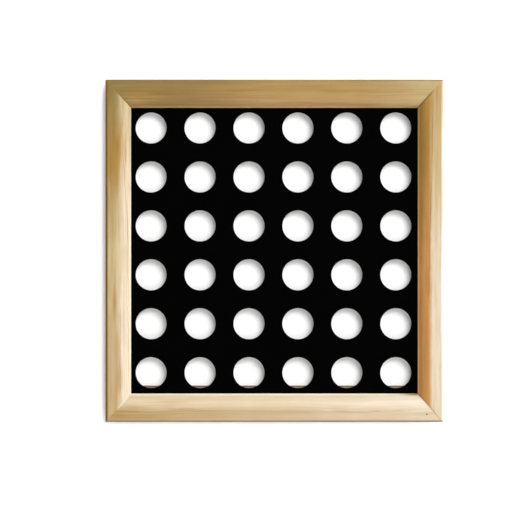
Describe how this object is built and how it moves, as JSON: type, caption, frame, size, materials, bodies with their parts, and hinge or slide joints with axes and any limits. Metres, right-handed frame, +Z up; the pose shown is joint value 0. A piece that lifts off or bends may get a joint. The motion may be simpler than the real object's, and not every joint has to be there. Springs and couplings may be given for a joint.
{
  "type": "four in a row frame",
  "caption": "Wall-hung wooden four-in-a-row frame: black panel with round viewing holes, counter columns behind it, and a pull-out bar that lets the counters drop.",
  "frame": {"origin": "midway between the entry holes of the two keyhole hangers, on the rear face of the wood", "axes": "+X to the player's right, +Y from the player into the wall, +Z up"},
  "size_m": [0.3, 0.025, 0.304],
  "materials": {
    "frame_wood": "clear satin varnish on pale pine-like wood",
    "strip_wood": "bare planed wood",
    "bar_wood": "bare planed wood",
    "black_board": "matt black rigid sheet",
    "white_card": "matt white card",
    "hardboard": "brown hardboard, smooth side out",
    "plated_steel": "bright zinc plate",
    "nail_steel": "plain steel wire and strip",
    "bumper_rubber": "matt rubber"
  },
  "bodies": {
    "frame": {"top_rail": "frame_wood", "bottom_rail": "frame_wood", "left_stile": "frame_wood", "right_stile": "frame_wood", "corner_v_nails": "nail_steel", "corner_pin": "nail_steel", "front_panel": "black_board", "column_divider_1": "strip_wood", "column_divider_2": "strip_wood", "column_divider_3": "strip_wood", "column_divider_4": "strip_wood", "column_divider_5": "strip_wood", "side_strip_left": "strip_wood", "side_strip_right": "strip_wood", "white_liner": "white_card", "back_board": "hardboard", "keyhole_plate_left": "plated_steel", "keyhole_plate_right": "plated_steel", "keyhole_screws": "plated_steel", "turn_button_screws": "plated_steel", "wall_bumpers": "bumper_rubber"},
    "bar": {"release_bar": "bar_wood"},
    "button_1": {"turn_button_1": "plated_steel"},
    "button_2": {"turn_button_2": "plated_steel"},
    "button_3": {"turn_button_3": "plated_steel"},
    "button_4": {"turn_button_4": "plated_steel"},
    "button_5": {"turn_button_5": "plated_steel"},
    "button_6": {"turn_button_6": "plated_steel"}
  },
  "joints": [
    {"name": "release_bar_slide", "type": "slide", "parent": "frame", "child": "bar", "axis": [1, 0, 0], "range_m": [0, 0.264]},
    {"name": "turn_button_1_turn", "type": "hinge", "parent": "frame", "child": "button_1", "pos_m": [-0.14, 0.0007, -0.04], "axis": [0, 1, 0], "continuous": true},
    {"name": "turn_button_2_turn", "type": "hinge", "parent": "frame", "child": "button_2", "pos_m": [-0.14, 0.0007, -0.115], "axis": [0, 1, 0], "continuous": true},
    {"name": "turn_button_3_turn", "type": "hinge", "parent": "frame", "child": "button_3", "pos_m": [-0.14, 0.0007, -0.19], "axis": [0, 1, 0], "continuous": true},
    {"name": "turn_button_4_turn", "type": "hinge", "parent": "frame", "child": "button_4", "pos_m": [0.14, 0.0007, -0.04], "axis": [0, 1, 0], "continuous": true},
    {"name": "turn_button_5_turn", "type": "hinge", "parent": "frame", "child": "button_5", "pos_m": [0.14, 0.0007, -0.115], "axis": [0, 1, 0], "continuous": true},
    {"name": "turn_button_6_turn", "type": "hinge", "parent": "frame", "child": "button_6", "pos_m": [0.14, 0.0007, -0.19], "axis": [0, 1, 0], "continuous": true}
  ]
}
